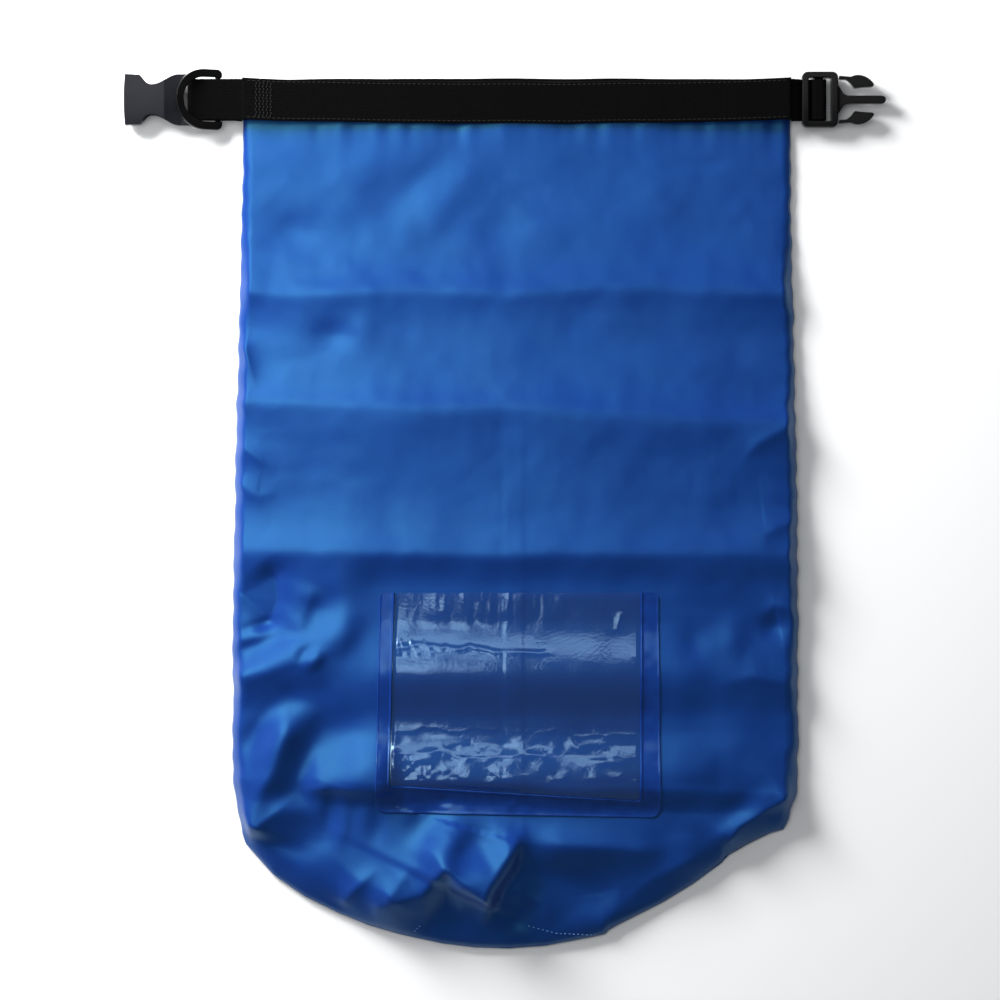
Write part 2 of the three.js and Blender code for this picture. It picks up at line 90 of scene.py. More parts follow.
def noise(x, y, scale, seed):
    """Smooth value noise from -1 to 1, with features about as large as scale."""
    table = np.random.RandomState(seed).uniform(-1, 1, (97, 97))
    u, v = x / scale + 40.0, y / scale + 40.0
    i, j = np.floor(u).astype(int), np.floor(v).astype(int)
    fu, fv = smooth(u - i), smooth(v - j)
    at = lambda a, b: table[a % 97, b % 97]
    low = at(i, j) * (1 - fu) + at(i + 1, j) * fu
    high = at(i, j + 1) * (1 - fu) + at(i + 1, j + 1) * fu
    return low * (1 - fv) + high * fv


def along_path(x, y, path):
    """Distance from a polyline, which side it is on from -1 to 1, and how far along it, from 0 to 1."""
    points = np.array(path, float)
    steps = np.diff(points, axis=0)
    lengths = np.hypot(*steps.T)
    starts = np.concatenate([[0], np.cumsum(lengths)])
    best, side, place = np.full(x.shape, 1e9), np.zeros(x.shape), np.zeros(x.shape)
    last = len(lengths) - 1
    for k, ((px, py), (dx, dy), length) in enumerate(zip(points, steps, lengths)):
        t = ((x - px) * dx + (y - py) * dy) / length**2
        past_end = ((t < 0) & (k == 0)) | ((t > 1) & (k == last))
        t = np.clip(t, 0, 1)
        away = np.hypot(x - px - t * dx, y - py - t * dy)
        lateral = (dx * (y - py) - dy * (x - px)) / length
        turned = np.where(past_end, lateral / np.maximum(away, 1e-6), np.sign(lateral))
        closer = away < best
        best = np.where(closer, away, best)
        side = np.where(closer, turned, side)
        place = np.where(closer, (starts[k] + t * length) / starts[-1], place)
    return best, side, place


def ridge(x, y, path, height, left, right, soft=1.5, ends=(0.25, 0.25)):
    """A crease along a path: its height falls off over left and right millimetres on its two sides.

    ends are the shares of the path over which it rises from nothing; 0 leaves a full peak at that end.
    """
    away, side, place = along_path(x, y, path)
    width = right + (left - right) * smooth((side + 1) / 2)
    fall = np.exp(-(np.sqrt((away / width) ** 2 + (soft / width) ** 2) - soft / width))
    first, final = ends
    rise = smooth(place / first) if first else 1.0
    sink = smooth((1 - place) / final) if final else 1.0
    return height * fall * rise * sink


def dent(x, y, centre, radii, depth, turn=0.0):
    """A soft hollow, or a swelling where depth is negative."""
    c, s = math.cos(math.radians(turn)), math.sin(math.radians(turn))
    dx, dy = x - centre[0], y - centre[1]
    u, v = (c * dx + s * dy) / radii[0], (-s * dx + c * dy) / radii[1]
    return -depth * np.exp(-(u * u + v * v))


def facet(x, y, centre, radii, lean, turn=0.0):
    """A leaning patch: it rises by lean per millimetre in x and y, and dies away past its radii."""
    c, s = math.cos(math.radians(turn)), math.sin(math.radians(turn))
    dx, dy = x - centre[0], y - centre[1]
    u, v = (c * dx + s * dy) / radii[0], (-s * dx + c * dy) / radii[1]
    return (lean[0] * dx + lean[1] * dy) * np.exp(-((u * u + v * v) ** 1.5))


def mesh_object(name, vertices, faces, uvs=None):
    """A mesh from millimetre vertices. uvs is one pair for each vertex, in millimetres."""
    mesh = bpy.data.meshes.new(name)
    mesh.from_pydata((np.asarray(vertices, float) * MM).tolist(), [], [list(map(int, f)) for f in faces])
    if uvs is not None:
        layer = mesh.uv_layers.new(name="UVMap")
        corner = np.zeros(len(mesh.loops), int)
        mesh.loops.foreach_get("vertex_index", corner)
        layer.data.foreach_set("uv", (np.asarray(uvs, float)[corner] * 0.01).ravel())
    mesh.polygons.foreach_set("use_smooth", [True] * len(mesh.polygons))
    mesh.update()
    made = bpy.data.objects.new(name, mesh)
    bpy.context.scene.collection.objects.link(made)
    return made


def grid_faces(rows, columns, closed=False):
    """Quads of a grid of rows by columns of vertices. closed joins the last column to the first."""
    i, j = np.meshgrid(np.arange(columns if closed else columns - 1), np.arange(rows - 1))
    a = (j * columns + i).ravel()
    b = (j * columns + (i + 1) % columns).ravel()
    return np.stack([a, a + columns, b + columns, b], 1)


# ---- The bag's outline ----

LEFT_CORNER, RIGHT_CORNER = (-156.5, -200.5), (166.5, -192.5)
LOWER_EDGE = (
    LEFT_CORNER, (-139, -220), (-120, -233), (-100, -242.8), (-82, -250), (-63, -255.6), (-38, -261),
    (-18, -263.4), (2, -264), (25, -262.3), (52, -257.2), (59.5, -255.6), (62, -252.6), (94, -236.5),
    (112, -225.5), (129.5, -212.6), (132.5, -208.6), (146, -200.8), (158, -195), RIGHT_CORNER,
)  # fmt: skip


def left_edge(y):
    """Where the bag's left side is at height y: it spreads downwards, and turns in at the corner."""
    down = MOUTH_HIGH - y
    spread = 6.5 * smooth(down / 360)
    corner = 7.8 * np.clip((-150 - y) / 50, 0, 1.2) ** 2
    puckers = 0.35 * noise(y, y * 0, 16, 21) + 0.3 * noise(y, y * 0, 9, 22) + wave(y, (16.3, 0.25))
    return LEFT_X - spread + corner + puckers * smooth((MOUTH_LOW + 4 - y) / 25)


def right_edge(y):
    """Where the bag's right side is at height y."""
    down = MOUTH_HIGH - y
    spread = 5.0 * smooth(down / 330)
    corner = 8.8 * np.clip((-162 - y) / 30, 0, 1.2) ** 1.6
    puckers = 0.4 * noise(y, y * 0, 17, 23) + 0.3 * noise(y, y * 0, 9, 24) + wave(y, (15.1, 0.3))
    return RIGHT_X + spread - corner + puckers * smooth((MOUTH_LOW + 4 - y) / 25)


def lower_edge(x):
    """The curved lower edge, with the two small steps where the folded base shows past the wall."""
    places, levels = np.array(LOWER_EDGE).T
    return np.interp(x, places, levels)


# The pocket's corners from the top left, down and round: its clear window, and the outside of its weld.
POCKET_INNER = ((-66, -49.7), (-69, -164.5), (80.5, -174), (81, -49.7))
POCKET_OUTER = ((-75, -49.2), (-77.5, -181.5), (93.5, -184.5), (92, -49.2))


# ---- The bag's relief ----

CROWN_NECK, CROWN_BELLY = 8.2, 17.5
# Each level fold: its place, how far it rises from the middle to the right, its height and softness,
# and its reach above and below.
CRESTS = (
    (131, 0.0, 4.4, 4.5, 16, 13),
    (58, -6.0, 5.0, 5.0, 14, 28),
    (-27, -1.0, 6.2, 4.5, 16, 20),
)
LEDGE = (
    (-170, -196), (-128, -205), (-100, -214), (-76, -236), (-49, -229), (-35, -214.5), (-26, -226.5),
    (-11, -232), (1, -210), (9.5, -197), (30, -200), (78, -206), (135, -198), (180, -186),
)  # fmt: skip


def back_height(x, y):
    """The back wall lies on the ground, apart from small air pockets."""
    rise = 0.8 * smooth((y - 140) / 46)
    return 0.9 + rise + 0.35 * (1 + noise(x, y, 38, 5)) * smooth((176 - y) / 30)


def level_folds(x, y):
    """The folds across the bag from being rolled up: a sharp crest, and long hollows between."""
    z = np.zeros(x.shape)
    for level, rise, height, soft, above, below in CRESTS:
        line = level + rise * (x - MID_X) / 160 + 2.2 * noise(x, y * 0 + level, 62, 11)
        line += 0.6 * noise(x, y * 0 + level, 17, 14)
        strength = height * (1 + 0.25 * noise(x, y * 0 + level, 85, 12))
        away = np.sqrt((y - line) ** 2 + soft**2) - soft
        z += strength * np.exp(-away / np.where(y > line, above, below))
    return z


def belly_swells(x, y):
    """The two broad swells of the lower half, which the pocket lies over."""
    upper = -64 + 2.0 * noise(x, y * 0, 60, 15)
    lower = -130 + 2.0 * noise(x, y * 0, 55, 16)
    ledge = -163 - 0.03 * x + 1.5 * noise(x, y * 0, 40, 17)
    z = 4.9 * smooth((upper - y) / 34) - 3.0 * smooth((upper - 35 - y) / 26)
    z += 4.7 * smooth((lower - y) / 31) - 5.4 * smooth((ledge - y) / 16)
    return z * (0.35 + 0.65 * smooth((x + 110) / 40)) * (1 - 0.35 * smooth((x - 100) / 30))


def soft_dents(x, y):
    """Broad shallow hollows and swellings from the air inside and from handling."""
    z = 1.0 * noise(x, y, 52, 1) + 0.45 * noise(x, y, 23, 2) + 0.15 * noise(x, y, 10, 3)
    z += 0.05 * noise(x, y, 4.5, 6) * (0.5 + 0.5 * noise(x, y, 30, 7))
    z += facet(x, y, (-38, 197), (16, 34), (0.09, -0.1), -32)
    z += facet(x, y, (-74, 200), (20, 24), (-0.04, 0.08), -20)
    z += facet(x, y, (-10, 178), (16, 16), (-0.05, 0.05)) + dent(x, y, (-129, 166), (18, 13), 1.6)
    z += dent(x, y, (-104, 104), (13, 10), 2.4, 15) + dent(x, y, (-84, 108), (9, 9), -0.9)
    z += dent(x, y, (116, 100), (30, 12), 1.0) + dent(x, y, (121, 208), (10, 4), 0.5)
    z += dent(x, y, (96, 30), (34, 14), 1.1) + dent(x, y, (40, 168), (40, 14), -0.9)
    z += dent(x, y, (113, -80), (9, 9), 1.5) + dent(x, y, (136, -76), (8, 10), -1.4)
    z += dent(x, y, (161, -70), (7, 7), 1.8) + dent(x, y, (124, -146), (34, 17), -2.2)
    return z


def side_folds(x, y):
    """The sharper folds that run in from the two side edges."""
    inward = (0, 0.6)
    z = ridge(x, y, ((-166, 106), (-157, 96), (-148, 70)), 3.0, 5, 9, 1.2, inward)
    z += ridge(x, y, ((-166, 44), (-150, 32), (-134, 22)), 2.4, 7, 7, 1.5, inward)
    z += ridge(x, y, ((-165, 18), (-148, 8), (-132, 12)), 1.8, 6, 7, 1.5, inward)
    z += ridge(x, y, ((-145, -30), (-137, -42), (-136, -55), (-141, -66), (-152, -73)), -3.6, 7, 17, 1.0)
    z += ridge(x, y, ((-112, -44), (-121, -66), (-126, -76)), 1.6, 9, 9, 1.5, (0.3, 0.3))
    z += ridge(x, y, ((-168, -102), (-144, -97), (-119, -90)), 3.6, 22, 15, 2.0, (0, 0))
    z += ridge(x, y, ((-119, -90), (-104, -84), (-84, -80)), 2.2, 20, 15, 2.0, (0, 0.8))
    z += facet(x, y, (-116.5, -88), (7, 6), (0.36, -0.26), 30)
    z += facet(x, y, (-149, -73), (14, 5), (0.05, -0.35), 20)
    z += facet(x, y, (-145, -87), (24, 10), (0.16, -0.2), 15)
    z += facet(x, y, (-105, -67), (16, 15), (0.28, -0.22))
    z += facet(x, y, (-142, -108), (26, 12), (-0.08, 0.12))
    z += ridge(x, y, ((-120, -112), (-132, -138), (-146, -168), (-155, -197)), 7.0, 13, 15, 4.0, (0.3, 0.1))
    z += facet(x, y, (-143, -135), (10, 18), (0.26, -0.18), -30)
    z += facet(x, y, (-127, -150), (11, 27), (-0.22, 0.12), -25)
    z += ridge(x, y, ((-124, -168), (-104, -166), (-80, -168), (-60, -167)), 5.0, 24, 7, 1.2)
    z += facet(x, y, (-98, -147), (24, 21), (0.18, -0.2))
    z += ridge(x, y, ((-157, -201), (-146, -188), (-122, -170)), 2.6, 7, 10, 1.0, (0.2, 0.4))
    z += facet(x, y, (-124, -190), (20, 16), (-0.1, 0.2)) + facet(x, y, (-101, -184), (7, 15), (0.24, -0.08))
    z += facet(x, y, (-80, -187), (7, 13), (-0.18, 0.06)) + facet(x, y, (-41, -193), (15, 15), (0.26, -0.24))
    z += ridge(x, y, ((178, 54), (152, 40), (136, 22)), 2.0, 8, 7, 1.5, inward)
    z += ridge(x, y, ((179, -4), (156, -14), (134, -10)), 2.0, 7, 9, 1.5, inward)
    z += ridge(x, y, ((180, -62), (162, -57), (150, -66)), 2.6, 7, 7, 1.2, inward)
    z += ridge(x, y, ((178, -106), (150, -100), (118, -106)), 2.2, 10, 9, 1.8, inward)
    z += ridge(x, y, ((177, -168), (158, -179), (140, -190), (130, -206)), 4.6, 9, 12, 1.0, (0.2, 0.2))
    z += dent(x, y, (140, -178), (8, 14), 2.0, -50)
    return z


def crumple(x, y):
    """The sharp folds above the base, where the round end is bent flat."""
    peak = (-35, -214.5)
    tall = ((-11, -240), (-3, -223), (4, -212), (9, -199), (12, -183))
    z = ridge(x, y, tall, 11.0, 26, 9, 1.0, (0.1, 0.5))
    z += ridge(x, y, ((-84, -240), (-66, -235), (-49, -229.5), peak), 5.5, 15, 16, 1.2, (0.3, 0))
    z += ridge(x, y, (peak, (-22, -223.7), (-12, -234), (-5, -256)), 6.0, 12, 17, 1.2, (0, 0.3))
    z += ridge(x, y, (peak, (-44, -203), (-62, -192)), 2.0, 10, 12, 2.0, (0, 0.9))
    z += facet(x, y, (-33, -239), (17, 15), (-0.1, 0.25))
    z += facet(x, y, (-17, -209), (12, 15), (0.1, -0.26))
    z += facet(x, y, (-4, -203), (11, 17), (0.16, 0.12), 20)
    z += facet(x, y, (46, -220), (44, 22), (-0.17, 0.17))
    z += ridge(x, y, ((-100, -240), (-91, -228), (-74, -212)), 4.0, 10, 7, 0.8, (0.2, 0.5))
    z += ridge(x, y, ((-72, -236), (-64, -224), (-52, -208)), 2.4, 8, 7, 0.8, (0.2, 0.5))
    z += ridge(x, y, ((-3, -233), (9, -229), (22, -236), (30, -251)), 5.0, 8, 8, 0.8, (0.2, 0.3))
    z += ridge(x, y, ((56, -256), (66, -242), (68, -228), (58, -214)), 3.0, 9, 9, 2.0, (0.2, 0.5))
    z += ridge(x, y, ((60, -246), (88, -222), (124, -206)), 2.6, 10, 12, 2.0)
    z += dent(x, y, (8, -244), (8, 11), 6.0, 10)
    z += ridge(x, y, ((14, -198), (40, -201), (100, -206)), 2.5, 8, 14, 2.0)
    return z


def edge_distance(x, y):
    """How far a point is in from the two side edges."""
    level = np.maximum(y, np.interp(x, *zip(LEFT_CORNER, RIGHT_CORNER)))
    return np.clip(np.minimum(x - left_edge(level), right_edge(level) - x), 0, None)


def over_pocket(x, y):
    """1 inside the pocket's welded outline, fading to 0 over the margin outside it."""
    margin = 24.0
    (left, top), (_, bottom), _, (right, _) = POCKET_OUTER
    across = smooth((x - left + margin) / margin) * smooth((right + margin - x) / margin)
    up = smooth((y - bottom + margin) / margin) * smooth((top + margin - y) / margin)
    return across * up


def front_height(x, y):
    """Height of the front wall: a crowned tube, with the folds, dents, puckers and seam on top."""
    inside = edge_distance(x, y)
    half = (RIGHT_X - LEFT_X) / 2 + 5
    roll = np.sqrt(1 - np.clip(1 - inside / 5.5, 0, 1) ** 2)
    arch = 0.42 * roll + 0.58 * (1 - np.clip(1 - inside / half, 0, 1) ** 2.6)
    crown = np.where(
        y > -60,
        CROWN_NECK + (CROWN_BELLY - CROWN_NECK) * smooth((195 - y) / 180),
        CROWN_BELLY - 3.0 * smooth((-60 - y) / 120),
    )
    above = np.clip(y - lower_edge(x), 0, None)
    ledge = np.interp(x, *zip(*LEDGE))
    below = smooth((ledge + 6 - y) / (26 + 14 * smooth(np.abs(x - 2) / 90)))
    base = back_height(x, y)
    foot = np.sqrt(np.clip(1 - (1 - np.clip(above / 20, 0, 1)) ** 2, 0, 1))
    free = smooth((MOUTH_LOW - y) / 30)
    height = (crown - base) * arch
    calm = 1 - 0.55 * over_pocket(x, y)
    height += (level_folds(x, y) + soft_dents(x, y)) * calm * free * smooth(inside / 7)
    height += belly_swells(x, y) * smooth(inside / 9)
    height += (side_folds(x, y) + crumple(x, y)) * smooth(inside / 6)
    edge_puckers = 0.5 * noise(y, x * 0, 11, 31) + 0.8 * noise(y, x * 0 + 3.7, 19, 32)
    height += 0.6 * edge_puckers * np.exp(-inside / 14) * smooth(inside / 6) * free
    gathers = 0.9 * noise(x, y * 0, 7, 41) + 1.2 * noise(x, y * 0, 17, 42)
    height += gathers * np.exp(-np.clip(MOUTH_LOW + 6 - y, 0, None) / 8)
    from_seam = np.abs(x - SEAM_X - 0.4 * noise(y, x * 0, 20, 43))
    seam = smooth((6.6 - from_seam) / 2.0) * smooth((90 - y) / 70)
    height += 0.22 * seam * (1 + 0.4 * noise(y, x * 0, 14, 44))
    height *= 1 - 0.5 * below
    return base + np.maximum(height, 0.5 * smooth(inside / 3)) * foot


# ---- The bag's skin ----

SPREAD_Y = -150.0  # above this the rows are level; below it they spread to the curved edge
FRONT_COLUMNS, BACK_COLUMNS = 250, 70


def skin_rows():
    """Row places as (level, share): a level y, or a share of the way to the lower edge."""
    levels = np.arange(MOUTH_HIGH, SPREAD_Y, -1.6)
    shares = np.linspace(0, 1, 74)
    return [(float(y), 0.0) for y in levels] + [(SPREAD_Y, float(s)) for s in shares]


def skin_grid(rows):
    """Rings of points round the flat tube: the front from left to right, then the back."""
    across = 0.5 - 0.5 * np.cos(np.linspace(0, np.pi, FRONT_COLUMNS))
    across = 0.5 * across + 0.5 * np.linspace(0, 1, FRONT_COLUMNS)
    pick = np.linspace(FRONT_COLUMNS - 2, 1, BACK_COLUMNS).round().astype(int)
    rings = []
    bow = np.clip(1 - ((across - 0.5) * 2) ** 2, 0, 1) ** 0.8
    for level, share in rows:
        left_y = level + share * (LEFT_CORNER[1] - level)
        right_y = level + share * (RIGHT_CORNER[1] - level)
        left = float(left_edge(np.array([left_y]))[0])
        right = float(right_edge(np.array([right_y]))[0])
        x = left + across * (right - left)
        low = lower_edge(LEFT_CORNER[0] + across * (RIGHT_CORNER[0] - LEFT_CORNER[0]))
        y = level + share * (low - level)
        y = y - (2.0 + FRONT_SAG * bow) * smooth((level - STRAP_Y) / (MOUTH_HIGH - STRAP_Y))
        front = np.stack([x, y, front_height(x, y)], 1)
        back = np.stack([x[pick], y[pick], back_height(x[pick], y[pick])], 1)
        rings.append(np.concatenate([front, back]))
    return np.array(rings)


def make_skin():
    """The bag's skin in three pieces that meet in the middle of the neck and below the lower fold."""
    rows = skin_rows()
    grid = skin_grid(rows)
    count = grid.shape[1]
    whole = mesh_object("whole_skin", grid.reshape(-1, 3), grid_faces(len(rows), count, closed=True))
    normals = np.array([v.normal for v in whole.data.vertices]).reshape(len(rows), count, 3)
    bpy.data.objects.remove(whole)
    levels = np.array([level for level, _ in rows])
    lower_split = int(np.argmin(np.abs(levels - LOWER_SPLIT)))
    upper_split = int(np.argmin(np.abs(levels - UPPER_SPLIT)))
    spans = {
        "bag_skin": (lower_split, len(rows) - 1),
        "neck_skin": (upper_split, lower_split),
        "mouth_skin": (0, upper_split),
    }
    made = {}
    for name, (first, last) in spans.items():
        part, facing = grid[first : last + 1], normals[first : last + 1]
        if name == "mouth_skin":
            part, facing = with_lining(part, facing)
        uvs = part.reshape(-1, 3)[:, :2]
        piece = mesh_object(name, part.reshape(-1, 3), grid_faces(len(part), count, closed=True), uvs)
        piece.data.normals_split_custom_set_from_vertices(facing.reshape(-1, 3).tolist())
        made[name] = piece
    return made


def with_lining(part, facing):
    """The mouth's rings with a rounded lip and the inside of the wall added above them."""
    thick, up = 0.8, np.array([0.0, 1.0, 0.0])
    inner = (part - thick * facing)[::-1]
    lip, lip_facing = [], []
    for turn in np.linspace(180, 0, 6)[1:-1]:
        c, s = math.cos(math.radians(turn)), math.sin(math.radians(turn))
        lip.append(part[0] - thick / 2 * facing[0] * (1 - c) + thick / 2 * s * up)
        lip_facing.append(c * facing[0] + s * up)
    rings = np.concatenate([inner, np.array(lip), part])
    return rings, np.concatenate([-facing[::-1], np.array(lip_facing), facing])


def base_hem():
    """The welded hem where the wall meets the folded base, as a low rounded cord."""
    sides = 12
    x = np.linspace(LEFT_CORNER[0] + 0.6, RIGHT_CORNER[0] - 0.6, 420)
    y = lower_edge(x)
    run = np.stack([np.gradient(x), np.gradient(y)], 1)
    run /= np.linalg.norm(run, axis=1)[:, None]
    inward = np.stack([-run[:, 1], run[:, 0]], 1)
    turns = np.arange(sides) * 2 * np.pi / sides
    across = 1.25 + 1.45 * np.cos(turns)
    height = 1.35 + 0.95 * np.sin(turns)
    flat = np.stack([x, y], 1)[:, None] + inward[:, None] * across[None, :, None]
    z = height[None, :] + 0.25 * noise(x, x * 0, 7, 81)[:, None]
    vertices = np.concatenate([flat, z[..., None]], 2)
    uvs = np.stack([np.broadcast_to(x[:, None], z.shape), np.broadcast_to(across, z.shape)], 2)
    faces = grid_faces(len(x), sides, closed=True)[:, ::-1]
    return mesh_object("base_hem", vertices.reshape(-1, 3), faces, uvs.reshape(-1, 2))


def base_panel():
    """The round base, folded double and lying under the wall, as one thin sheet."""
    columns, rows = 130, 26
    x = np.linspace(-147, 137, columns)[None, :]
    low = lower_edge(x) + 2.2
    high = np.maximum(-150 - 52 * ((x + 6) / 144) ** 2, low + 1)
    t = np.linspace(0, 1, rows)[:, None]
    y = low + (high - low) * t
    x = np.broadcast_to(x, y.shape)
    z = 0.45 + 0.2 * noise(x, y, 24, 82) + 0.3 * np.exp(-((1 - t) * 14)) + 0.3 * np.exp(-t * 14)
    under = np.stack([x, y, z], 2)
    vertices = under.reshape(-1, 3)
    return mesh_object("base_panel", vertices, grid_faces(rows, columns), vertices[:, :2])


def seam_tape(name, top, bottom):
    """A length of the tape welded along the wall's overlap, on the back."""
    rows, columns = max(4, int((top - bottom) / 2)), 15
    across = np.linspace(-1, 1, columns)
    x, y = np.meshgrid(SEAM_X + SEAM_HALF * across, np.linspace(top, bottom, rows))
    z = back_height(x, y) - 0.42 + 0.36 * smooth((np.abs(across) - 0.9) / 0.1)
    vertices = np.stack([x, y, z], 2).reshape(-1, 3)
    return mesh_object(name, vertices, grid_faces(rows, columns)[:, ::-1], vertices[:, :2])


def base_stitches():
    """The short rows of stitches that show near the lower edge."""
    pitch = 2.5
    places = []
    for row in (((14.5, -250), (31, -254.5)), ((31, -254.5), (57, -256)), ((-54, -253), (-50, -248.5))):
        count = max(3, int(math.dist(*row) / pitch))
        places.append(np.linspace(*row, count, endpoint=False))
    x, y = np.concatenate(places).T
    spots = np.stack([x, y, front_height(x, y) + 0.15], 1)
    return beads("base_stitches", spots, [(1, -0.18, 0)] * len(x), 1.3, 0.5, 0.5)


# ---- Webbing ----


def webbing(name, path, width, thick):
    """A strap of ribbed webbing along a path of points, with its width along y."""
    ribs = 13
    path = np.array(path, float)
    run = np.gradient(path, axis=0)
    run /= np.linalg.norm(run, axis=1)[:, None]
    side = np.array([0.0, 1.0, 0.0])
    up = np.cross(run, side)
    up /= np.linalg.norm(up, axis=1)[:, None]
    face_steps, edge_steps = 5 * ribs + 1, 4
    t = np.linspace(-1, 1, face_steps)
    body = width / 2 - thick / 2
    rib = 0.1 * np.cos(np.pi * ribs * (t + 1)) * smooth((1 - np.abs(t)) * 8)
    top = np.stack([t * body, thick / 2 - 0.07 - rib], 1)
    turn = np.linspace(np.pi / 2, -np.pi / 2, edge_steps + 2)[1:-1]
    right = np.stack([body + thick / 2 * np.cos(turn), thick / 2 * np.sin(turn)], 1)
    section = np.concatenate([top, right, -top, -right])
    length = np.concatenate([[0], np.cumsum(np.linalg.norm(np.diff(path, axis=0), axis=1))])
    vertices, uvs = [], []
    for k, point in enumerate(path):
        vertices.append(point + section[:, :1] * side + section[:, 1:] * up[k])
        uvs.append(np.stack([np.full(len(section), length[k]), section[:, 0]], 1))
    count = len(section)
    faces = [tuple(f) for f in grid_faces(len(path), count, closed=True)]
    faces.append(tuple(range(count)))
    faces.append(tuple(range(len(path) * count - 1, (len(path) - 1) * count - 1, -1)))
    return mesh_object(name, np.concatenate(vertices), faces, np.concatenate(uvs))


def strap_end_path(side):
    """The strap's run from under the front band, out round the buckle's bar and back to the rear band."""
    if side == "left":
        hinge = JOINT["left_tab_swing"]
        bar = JOINT["socket_swivel"]
        out = [(LEFT_X + 3.0, FRONT_BAND_Z - 1.45), (LEFT_X - 1.5, FRONT_BAND_Z - 1.9)]
        out += [(hinge.x - 2.5, hinge.z + 2.75)]
        out += [(x, hinge.z + 2.75) for x in np.linspace(hinge.x - 4.0, bar.x, 12)]
        turn = np.linspace(np.pi / 2, 1.5 * np.pi, 14)[1:-1]
        out += [(bar.x + 2.8 * math.cos(t), bar.z + 2.8 * math.sin(t)) for t in turn]
        out += [(x, hinge.z - 2.8) for x in np.linspace(bar.x, hinge.x - 4.0, 12)]
        out += [(hinge.x, hinge.z - 3.4), (LEFT_X - 1.6, REAR_BAND_Z + 0.6)]
        out += [(LEFT_X - 0.9, REAR_BAND_Z + 0.1)]
    else:
        hinge = JOINT["right_tab_swing"]
        corners = (
            (3.4, -0.4), (6.8, -0.4), (8.2, 0.2), (9.4, 1.7), (10.6, 2.1), (13, 2.1), (15.2, 2.1),
            (16.6, 1.5), (17, 0.2), (17, -0.8), (17, -1.9), (16.5, -3.2), (15.2, -3.8), (12, -3.8), (8, -3.8),
        )  # fmt: skip
        out = [(RIGHT_X - 3.0, FRONT_BAND_Z - 1.45), (RIGHT_X + 1.0, FRONT_BAND_Z - 1.7)]
        out += [(hinge.x + 0.4, hinge.z + 1.6)]
        out += [(hinge.x + a, hinge.z + b) for a, b in corners]
        out += [(hinge.x + 3.4, hinge.z - 3.8), (hinge.x, hinge.z - 4.0), (RIGHT_X + 1.0, REAR_BAND_Z + 0.1)]
    return fine_path([(x, STRAP_Y, z) for x, z in out], 0.9)


def fine_path(corners, step):
    """Evenly spaced points along a smooth curve through the corners."""
    points = np.array(corners, float)
    padded = np.concatenate([2 * points[:1] - points[1:2], points, 2 * points[-1:] - points[-2:-1]])
    dense = []
    for p0, p1, p2, p3 in zip(padded, padded[1:], padded[2:], padded[3:]):
        t = np.linspace(0, 1, 12, endpoint=False)[:, None]
        square, cube = 2 * p0 - 5 * p1 + 4 * p2 - p3, 3 * p1 - p0 - 3 * p2 + p3
        curve = 2 * p1 + (p2 - p0) * t + square * t**2 + cube * t**3
        dense.append(curve / 2)
    dense = np.concatenate(dense + [points[-1:]])
    run = np.concatenate([[0], np.cumsum(np.linalg.norm(np.diff(dense, axis=0), axis=1))])
    places = np.linspace(0, run[-1], max(3, int(run[-1] / step)))
    return np.stack([np.interp(places, run, dense[:, k]) for k in range(3)], 1)


# ---- Stitches and small beads ----


def beads(name, places, directions, length, width, height):
    """Small rounded beads, one at each place: stitches of thread, or the teeth of a weld."""
    around, along = 8, 5
    vertices, faces = [], []
    for place, direction in zip(np.array(places, float), np.array(directions, float)):
        direction = direction / np.linalg.norm(direction)
        side = np.cross((0.0, 0.0, 1.0), direction)
        side /= np.linalg.norm(side)
        up = np.cross(direction, side)
        first = len(vertices)
        for angle in np.linspace(-np.pi / 2, np.pi / 2, along + 2)[1:-1]:
            for turn in np.arange(around) * 2 * np.pi / around:
                size = math.cos(angle) ** 0.6
                vertices.append(
                    place
                    + direction * length / 2 * math.sin(angle)
                    + side * width / 2 * size * math.cos(turn)
                    + up * height / 2 * size * math.sin(turn)
                )
        faces += [tuple(int(i) + first for i in f[::-1]) for f in grid_faces(along, around, closed=True)]
        faces.append(tuple(first + i for i in range(around - 1, -1, -1)))
        faces.append(tuple(first + (along - 1) * around + i for i in range(around)))
    return mesh_object(name, vertices, faces)


def band_row(offset):
    """The line of stitches along the front band, at this distance above its middle."""
    path = band_path(FRONT_BAND_Z, FRONT_SAG)
    x = np.arange(LEFT_X + 4, RIGHT_X - 3, 3.0)
    y = np.interp(x, path[:, 0], path[:, 1]) + offset
    z = np.interp(x, path[:, 0], path[:, 2]) + WEBBING_THICK / 2 + 0.02
    return [(a, b, c) for a, b, c in zip(x, y, z)]


def band_stitches():
    """Two rows of stitches along the band's edges."""
    places = band_row(WEBBING_WIDTH / 2 - 1.6) + band_row(1.6 - WEBBING_WIDTH / 2)
    return beads("band_stitches", places, [(1, 0.03, 0)] * len(places), 2.1, 0.42, 0.3)


def bar_tacks():
    """The dense rows of stitches that hold the strap at the band's left end."""
    path = band_path(FRONT_BAND_Z, FRONT_SAG)
    places = []
    for x in (-149.2, -147.0, -144.8, -142.6, -140.4):
        y0 = np.interp(x, path[:, 0], path[:, 1])
        z0 = np.interp(x, path[:, 0], path[:, 2]) + WEBBING_THICK / 2 + 0.03
        for k, down in enumerate(np.arange(-9.8, 10, 1.75)):
            places.append((x + (0.25 if k % 2 else -0.25), y0 + down, z0))
    return beads("bar_tacks", places, [(0.12, 1, 0)] * len(places), 1.5, 0.5, 0.36)


